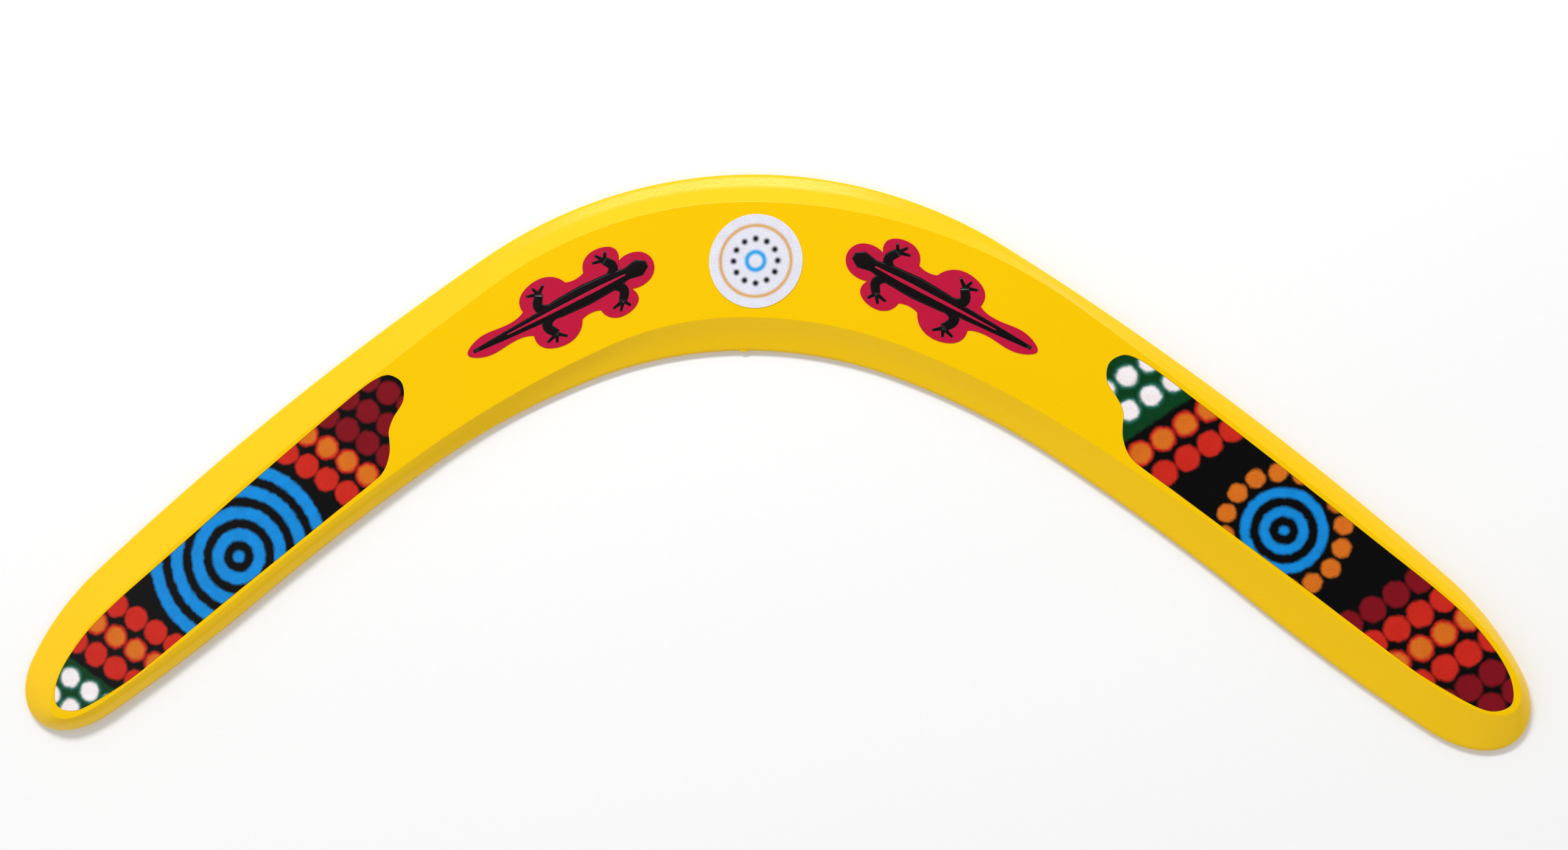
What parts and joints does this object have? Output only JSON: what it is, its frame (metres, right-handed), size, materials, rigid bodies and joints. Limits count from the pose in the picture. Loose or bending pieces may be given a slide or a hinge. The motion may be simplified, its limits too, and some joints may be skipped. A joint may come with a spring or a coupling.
{
  "type": "returning boomerang",
  "caption": "Right-handed returning boomerang: one moulded plastic blank with a flat underside and bevelled edges, with printed film decals and stickers on top.",
  "frame": {"origin": "on the underside's plane, midway along the span and midway between the elbow's outer edge and the tips", "axes": "+X along the span towards the right arm's tip, +Y towards the elbow, +Z out of the decorated top"},
  "size_m": [0.4056, 0.152, 0.0057],
  "materials": {
    "yellow_plastic": "satin injection-moulded polypropylene, fine even texture",
    "printed_film": "glossy printed film",
    "crimson_vinyl": "semi-gloss printed vinyl",
    "white_label": "semi-gloss printed paper label"
  },
  "bodies": {
    "root": {"boomerang_blank": "yellow_plastic", "left_arm_decal": "printed_film", "right_arm_decal": "printed_film", "left_lizard_sticker": "crimson_vinyl", "right_lizard_sticker": "crimson_vinyl", "round_label": "white_label"}
  },
  "joints": []
}
